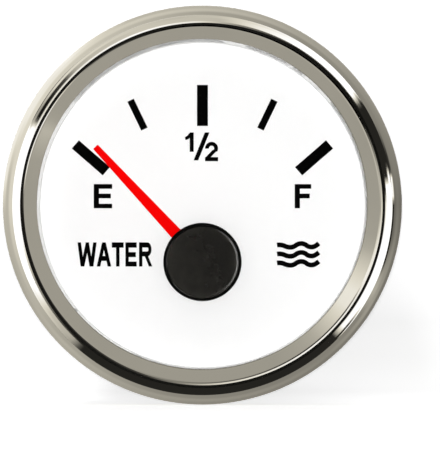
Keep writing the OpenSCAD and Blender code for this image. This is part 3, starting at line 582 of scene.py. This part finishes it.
class Glyph:
    """Printed shapes on the dial, in millimetres right of and above the window's centre."""

    def __init__(self):
        self.bm = bmesh.new()

    def strip(self, low_x, high_x, low_y, high_y, width):
        """A straight stroke cut level at both ends, its left edge from low_x up to high_x."""
        corners = (low_x, low_y), (low_x + width, low_y), (high_x + width, high_y), (high_x, high_y)
        self.bm.faces.new([self.bm.verts.new((x, y, dial_face)) for x, y in corners])
        return self

    def bar(self, left, right, low, high):
        return self.strip(left, left, low, high, right - left)

    def bow(self, x, y, radius, width, start, degrees, squeeze=1.0):
        """A round stroke about a centre, from a start angle on through some degrees."""
        inner = radius - width / 2
        ends = [self.bm.verts.new((r * cos(radians(start)), r * sin(radians(start)), dial_face))
                for r in (inner, inner + width)]
        before = set(self.bm.verts) - set(ends)
        bmesh.ops.spin(
            self.bm, geom=[self.bm.edges.new(ends)], cent=(0, 0, dial_face), axis=(0, 0, 1),
            angle=radians(degrees), steps=24)
        fresh = [v for v in self.bm.verts if v not in before]
        bmesh.ops.scale(self.bm, vec=(squeeze, 1, 1), verts=fresh)
        bmesh.ops.translate(self.bm, vec=(x, y, 0), verts=fresh)
        return self

    def stroke(self, x, y, heading, width, *runs):
        """A stroke from a point and heading. A run is a length, or a radius and degrees to the left."""
        ends = [self.bm.verts.new((side * width / 2, 0, dial_face)) for side in (1, -1)]
        edge = self.bm.edges.new(ends)
        bmesh.ops.rotate(self.bm, verts=ends, matrix=Matrix.Rotation(radians(heading - 90), 3, "Z"))
        bmesh.ops.translate(self.bm, verts=ends, vec=(x, y, 0))
        for run in runs:
            way = Vector((cos(radians(heading)), sin(radians(heading)), 0))
            middle = sum((v.co for v in edge.verts), Vector()) / 2
            if isinstance(run, tuple):
                radius, degrees = run
                left = Vector((-way.y, way.x, 0)) * (radius if degrees > 0 else -radius)
                made = bmesh.ops.spin(
                    self.bm, geom=[edge], cent=middle + left, axis=(0, 0, 1),
                    angle=radians(degrees), steps=12)["geom_last"]
                heading += degrees
            else:
                made = bmesh.ops.extrude_edge_only(self.bm, edges=[edge])["geom"]
                fresh = [g for g in made if isinstance(g, bmesh.types.BMVert)]
                bmesh.ops.translate(self.bm, verts=fresh, vec=way * run)
                made = [g for g in made if isinstance(g, bmesh.types.BMEdge)
                        and all(v in fresh for v in g.verts)]
            edge = [g for g in made if isinstance(g, bmesh.types.BMEdge)][0]
        return self

    def printed(self, name):
        """Gives the shapes the ink's thickness and puts them on the dial."""
        faces = self.bm.faces[:]
        bmesh.ops.recalc_face_normals(self.bm, faces=faces)
        made = bmesh.ops.extrude_face_region(self.bm, geom=faces, use_keep_orig=True)["geom"]
        raised = [g for g in made if isinstance(g, bmesh.types.BMVert)]
        bmesh.ops.translate(self.bm, vec=(0, 0, ink), verts=raised)
        return piece(self.bm, name, print_look, "mark_black", MAIN_BODY)


Glyph().bar(-16.95, -16.13, -0.48, 3.29).bar(-16.13, -14.08, 2.56, 3.29).bar(
    -16.13, -14.28, 1.08, 1.8).bar(-16.13, -14.08, -0.48, 0.22).printed("letter_empty")
Glyph().bar(14.38, 15.2, -0.48, 3.28).bar(15.2, 16.96, 2.56, 3.28).bar(
    15.2, 16.73, 1.07, 1.8).printed("letter_full")
Glyph().bar(-1.99, -1.37, 8.32, 11.34).stroke(-2.7, 10.37, 15, 0.5, (1.2, 45), 0.2).strip(
    -1.38, 0.37, 6.99, 11.34, 0.72).bow(1.42, 8.86, 0.71, 0.6, -32, 215).strip(
    0.4, 1.6, 7.38, 8.62, 0.78).bar(0.4, 2.44, 6.86, 7.49).printed("half_mark")

word_low, word_high = -9.56, -5.8
word = Glyph()
word.strip(-18.99, -19.48, word_low, word_high, 0.54).strip(-18.96, -18.18, word_low, word_high, 0.54)
word.strip(-17.6, -18.26, word_low, word_high, 0.54).strip(-17.54, -17.04, word_low, word_high, 0.54)
word.strip(-16.49, -15.64, word_low, word_high, 0.55).strip(-14.78, -15.63, word_low, word_high, 0.55)
word.bar(-16.1, -14.6, -8.68, -7.92)
word.bar(-14.14, -12.29, -6.62, word_high).bar(-13.47, -12.93, word_low, -6.62)
word.bar(-12.01, -11.5, word_low, word_high).bar(-11.5, -10.25, -6.62, word_high)
word.bar(-11.5, -10.39, -8.1, -7.32).bar(-11.5, -10.25, word_low, -8.79)
word.bar(-9.89, -9.37, word_low, word_high).bar(-9.37, -8.6, -6.6, word_high)
word.bar(-9.37, -8.6, -7.98, -7.22).bow(-8.6, -6.89, 0.7, 0.79, -90, 180, squeeze=0.6)
word.strip(-8.35, -9.0, word_low, -7.94, 0.53)
word.printed("word_water")

# Each wave is one stroke over two crests and through two troughs
waves = Glyph()
for low in (0, -1.403, -2.806):
    waves.stroke(11.62, -6.215 + low, 9.6, 0.75, (2.09, -34.2), (2.09, 24.6), (1.372, 38.3),
                 (1.372, -38.3), (1.258, -38.6), (1.258, 72.6), (6, 5.6))
waves.printed("wave_lines")


# Pointer: a narrow blade and its hub, moulded together in red plastic. The hub is pushed on the
# movement's steel spindle.
red_look, s = new_look("pointer_red", Base_Color=(0.87, 0.0005, 0.0005), Roughness=0.5,
                       Specular_IOR_Level=0.02)
moulded = grain(s, 1500.0)
feed(red_look, Roughness=0.45 + moulded * 0.1,
     Base_Color=moulded.ramp((0.2, (0.85, 0.0003, 0.0004)), (0.8, (0.89, 0.0005, 0.0006))))


def solid_copy(node):
    """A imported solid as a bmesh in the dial's frame, its loose triangles joined."""
    bm = bmesh.new()
    bm.from_mesh(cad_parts[node].data)
    bmesh.ops.transform(bm, matrix=STAND_UP.inverted(), verts=bm.verts)
    bmesh.ops.remove_doubles(bm, verts=bm.verts, dist=1e-3)
    bmesh.ops.dissolve_limit(
        bm, angle_limit=radians(0.02), use_dissolve_boundaries=False, verts=bm.verts,
        edges=bm.edges)
    return bm


sharp_from = radians(35)


def softened(node, name, width, look, slot, body):
    """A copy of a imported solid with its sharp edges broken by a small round."""
    bm = solid_copy(node)
    edges = [e for e in bm.edges if e.is_manifold and e.calc_face_angle() > sharp_from]
    bmesh.ops.bevel(
        bm, geom=edges, offset=width, offset_type="OFFSET", affect="EDGES", segments=2,
        profile=0.5, material=-1, clamp_overlap=True)
    made = piece(bm, name, look, slot, body, node)
    made.modifiers.new("flat_faces", "WEIGHTED_NORMAL").keep_sharp = True
    return made


blade = softened("pointer", "pointer_blade", 0.12, red_look, "pointer_red", "indicator")
blade.visible_diffuse = False

shaft_look, s = new_look("shaft_steel", Base_Color=(0.62, 0.61, 0.59), Metallic=1.0, Roughness=0.25)
drawn = grain(s, 1200.0)
feed(shaft_look, Base_Color=drawn.ramp((0.2, 0.55), (0.8, 0.68)), Roughness=0.2 + drawn * 0.15)
dress(shaft_look, "spindle", "idler_arbor", "rotor_arbor")


# Pointer's cap: a disc moulded in black plastic, pressed over the hub. Its top is polished as far as
# its bevel reaches, as under a clear coat, and a painted shade darkens it a little to the right. Its
# side is matt, and is painted darker still as painted shade.
pivot_drop = 8.85
cap_look, s = new_look("cap_black", Base_Color=(0.016, 0.015, 0.0135), Roughness=0.4,
                       Specular_IOR_Level=0.05, Coat_Roughness=0.1)
moulded = grain(s, 900.0, 4.0)
x, _, up = place(s)
from_pivot = way_from(s, x, up, (0, -pivot_drop))
on_top = 1 - reached(from_pivot, 5.44, 5.56)
coated = 1 - reached(from_pivot, 5.6, 5.7)
painted_shade_to_right = reached(x * 0.9 + (up + pivot_drop * MM) * 0.4, -5, 6)
cap_colour = painted_shade_to_right.mix((1, 1, 1, 1), (0.5, 0.5, 0.5, 1)).times(
    moulded.ramp((0.2, (0.011, 0.0105, 0.0095)), (0.8, (0.0205, 0.0195, 0.017))))
feed(cap_look,
     Base_Color=on_top.mix((0.001, 0.001, 0.001, 1), cap_colour),
     Roughness=0.35 + moulded * 0.1, Coat_Weight=coated)
softened("pointer_cap", "pointer_cap_smooth", 0.06, cap_look, "cap_black", "indicator")


# Cup and barrel: one black moulding of glass-filled nylon, with an outside thread along the barrel
# for the lock ring. The rear cover, of the same plastic, is screwed on behind.
def black_moulding(name, low, high, rough, scale=1400.0):
    look, s = new_look(name, Base_Color=(high, high, high), Roughness=rough, Specular_IOR_Level=0.4)
    fine, flow = grain(s, scale, 5.0), grain(s, 60.0, 2.0)
    feed(look, Base_Color=(fine * 0.6 + flow * 0.4).ramp((0.3, low), (0.7, high)),
         Roughness=rough - 0.08 + fine * 0.16,
         Normal=s.node("Bump", inputs={"Height": fine, "Strength": 0.3, "Distance": 0.00008}))
    return look


case_look = black_moulding("case_black", 0.010, 0.022, 0.42)

barrel_r, thread_root_r = 25.75, 25.15
thread_pitch, thread_turns, thread_start = 3, 8.6, -1.6
thread_flank, thread_crest, thread_steps = 0.45, 0.7, 72
thread_inside_r = barrel_r - 1
flange_back, slack = 1, 0.05

# The barrel's wall goes in to the thread's root, and one ridge winds round it
bm = solid_copy("case")
wall = [v for v in bm.verts if v.co.z < flange_back and abs(v.co.xy.length - barrel_r) < slack]
inwards = thread_root_r / barrel_r
bmesh.ops.scale(bm, vec=(inwards, inwards, 1), verts=wall)
thread_low = -2 * thread_flank - thread_crest
corners = [(thread_inside_r, 0), (thread_root_r, 0), (barrel_r, -thread_flank),
           (barrel_r, thread_low + thread_flank), (thread_root_r, thread_low),
           (thread_inside_r, thread_low)]
profile = bm.faces.new([bm.verts.new((r, 0, thread_start + z)) for r, z in corners])
steps = int(thread_turns * thread_steps)
made = bmesh.ops.spin(
    bm, geom=[profile] + list(profile.edges) + list(profile.verts), cent=(0, 0, 0), axis=(0, 0, 1),
    angle=2 * pi * thread_turns, steps=steps,
    dvec=(0, 0, -thread_pitch * thread_turns / steps))
piece(bm, "threaded_case", case_look, "case_black", MAIN_BODY, "case")

softened("rear_cover", "rear_cover_smooth", 0.2, case_look, "case_black", MAIN_BODY)


# Lock ring: a nut of black plastic that runs on the barrel's thread and clamps the panel. It has a
# flange towards the panel and a wall with sixteen ribs for the fingers.
ring_look = black_moulding("ring_black", 0.012, 0.024, 0.5, 1000.0)
ring_top, ring_low, flange_low = -6.5, -13.5, -8.5
ring_bore_r, ring_r, flange_r, rib_r = 25.85, 28.15, 30.4, 30
ribs, rib_w, ring_round = 16, 2.4, 0.4
# Each rib runs this far into the wall and the flange
rib_in, rib_up = 1.15, 1
outline = Outline(ring_bore_r, ring_top)
outline.to((ring_bore_r, ring_low), (ring_r - ring_round, ring_low))
outline.arc(ring_r - ring_round, ring_low + ring_round, 90, 5).to((ring_r, flange_low - ring_round))
outline.arc(ring_r + ring_round, flange_low - ring_round, -90, 5)
outline.to((flange_r - ring_round, flange_low))
outline.arc(flange_r - ring_round, flange_low + ring_round, 90, 5)
outline.to((flange_r, ring_top - ring_round))
outline.arc(flange_r - ring_round, ring_top - ring_round, 90, 5)
bm = outline.spun()
rib_size = (rib_r - ring_r + rib_in, rib_w, flange_low - ring_low + rib_up)
rib_middle = (rib_r - rib_size[0] / 2, 0, ring_low + rib_size[2] / 2)
for i in range(ribs):
    rib_place = (Matrix.Rotation(2 * pi * i / ribs, 4, "Z") @ Matrix.Translation(rib_middle)
                 @ Matrix.Diagonal((*rib_size, 1)))
    rib = bmesh.ops.create_cube(bm, size=1, matrix=rib_place)["verts"]
    edges = {e for v in rib for e in v.link_edges}
    bmesh.ops.bevel(
        bm, geom=list(edges), offset=ring_round, offset_type="OFFSET", affect="EDGES", segments=4,
        profile=0.5, material=-1)
piece(bm, "ribbed_lock_ring", ring_look, "ring_black", MAIN_BODY, "lock_ring")


# Screws: self-tapping steel screws with pan heads and a cross recess, plated bright with zinc. Three
# hold the rear cover to the case, three the board to the posts.
screw_look, s = new_look("screw_steel", Base_Color=(0.7, 0.71, 0.72), Metallic=1.0, Roughness=0.3)
plated = grain(s, 1100.0)
feed(screw_look, Base_Color=plated.ramp((0.2, (0.62, 0.63, 0.65)), (0.8, (0.76, 0.77, 0.78))),
     Roughness=0.24 + plated * 0.16)
dress(screw_look, "board_screws")
softened("cover_screws", "cover_screws_smooth", 0.08, screw_look, "screw_steel", MAIN_BODY)


# Inside: the white light box, the board and its soldered parts, and the movement with its housing,
# moulded wheels, magnet, iron and two coils of copper wire. No view from outside shows them.
def plain_look(name, low, high, rough, metallic=0.0, scale=900.0):
    """A material whose colour and roughness drift over a fine grain."""
    look, s = new_look(name, Base_Color=high, Roughness=rough, Metallic=metallic)
    fine = grain(s, scale, 4.0)
    feed(look, Base_Color=fine.ramp((0.25, low), (0.75, high)), Roughness=rough - 0.07 + fine * 0.14)
    return look


dress(black_moulding("bobbin_black", 0.012, 0.02, 0.5), "left_bobbin", "right_bobbin")
dress(black_moulding("movement_black", 0.02, 0.035, 0.45), "movement_base", "movement_lid")
dress(plain_look("light_box_white", (0.8, 0.8, 0.79), (0.88, 0.88, 0.87), 0.5), "light_box")
dress(plain_look("lamp_yellow", (0.85, 0.78, 0.35), (0.95, 0.88, 0.5), 0.3), "lamps")
dress(plain_look("board_green", (0.01, 0.09, 0.035), (0.02, 0.14, 0.05), 0.35), "circuit_board")
dress(plain_look("chip_black", (0.015, 0.015, 0.016), (0.03, 0.03, 0.031), 0.45),
      "microcontroller", "regulator")
dress(plain_look("can_aluminium", (0.72, 0.73, 0.74), (0.82, 0.83, 0.84), 0.3, 1.0), "capacitor")
dress(plain_look("gear_plastic", (0.78, 0.76, 0.68), (0.86, 0.84, 0.77), 0.4),
      "output_wheel", "idler_wheel", "rotor_pinion")
dress(plain_look("magnet_grey", (0.05, 0.05, 0.052), (0.09, 0.09, 0.092), 0.5), "rotor_magnet")
dress(plain_look("soft_iron", (0.4, 0.4, 0.41), (0.52, 0.52, 0.53), 0.4, 1.0), "stator")
dress(plain_look("copper_wire", (0.6, 0.26, 0.1), (0.8, 0.38, 0.17), 0.35, 1.0, 4000.0),
      "left_winding", "right_winding")
dress(plain_look("contact_brass", (0.72, 0.55, 0.25), (0.82, 0.66, 0.34), 0.28, 1.0),
      "connector_pins", "movement_pins")
